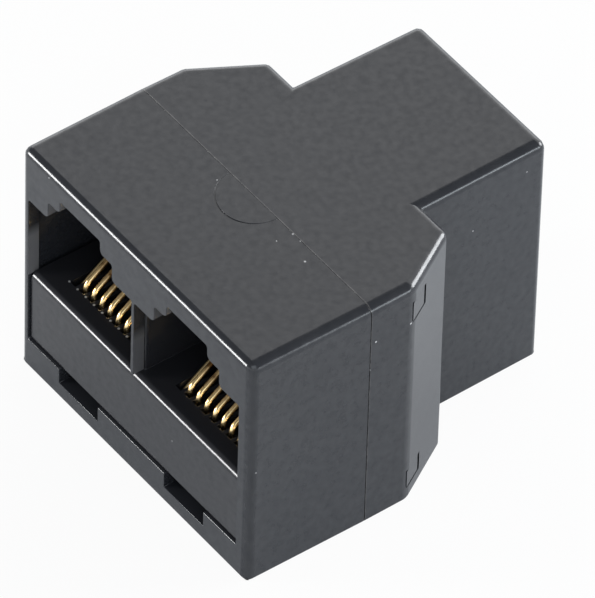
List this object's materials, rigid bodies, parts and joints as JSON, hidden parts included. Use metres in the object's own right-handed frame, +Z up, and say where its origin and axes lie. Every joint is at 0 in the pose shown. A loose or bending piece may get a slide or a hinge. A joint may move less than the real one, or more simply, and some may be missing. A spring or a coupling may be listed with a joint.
{
  "type": "network splitter adapter",
  "caption": "Black T-shaped network splitter: two latch-plug sockets side by side in a wide front, one in a narrower neck behind, in a two-piece snap case.",
  "frame": {"origin": "centre of the bounding box in plan, on the bottom face that it rests on", "axes": "+Z up, with the latch notches above and the contacts below; -Y out of the two front sockets; +Y out of the neck's socket; +X to the right as seen from the front"},
  "size_m": [0.0278, 0.031, 0.0217],
  "materials": {
    "case": "black, moulded, semi-gloss",
    "insert": "black, moulded, satin",
    "contact": "gold-plated spring wire, polished",
    "board": "green solder mask on glass-epoxy laminate"
  },
  "bodies": {
    "root": {"front_shell": "case", "rear_shell": "case", "front_jack_block": "insert", "rear_jack_block": "insert", "circuit_board": "board", "left_contact_1": "contact", "left_contact_2": "contact", "left_contact_3": "contact", "left_contact_4": "contact", "left_contact_5": "contact", "left_contact_6": "contact", "left_contact_7": "contact", "left_contact_8": "contact", "right_contact_1": "contact", "right_contact_2": "contact", "right_contact_3": "contact", "right_contact_4": "contact", "right_contact_5": "contact", "right_contact_6": "contact", "right_contact_7": "contact", "right_contact_8": "contact", "rear_contact_1": "contact", "rear_contact_2": "contact", "rear_contact_3": "contact", "rear_contact_4": "contact", "rear_contact_5": "contact", "rear_contact_6": "contact", "rear_contact_7": "contact", "rear_contact_8": "contact"}
  },
  "joints": []
}
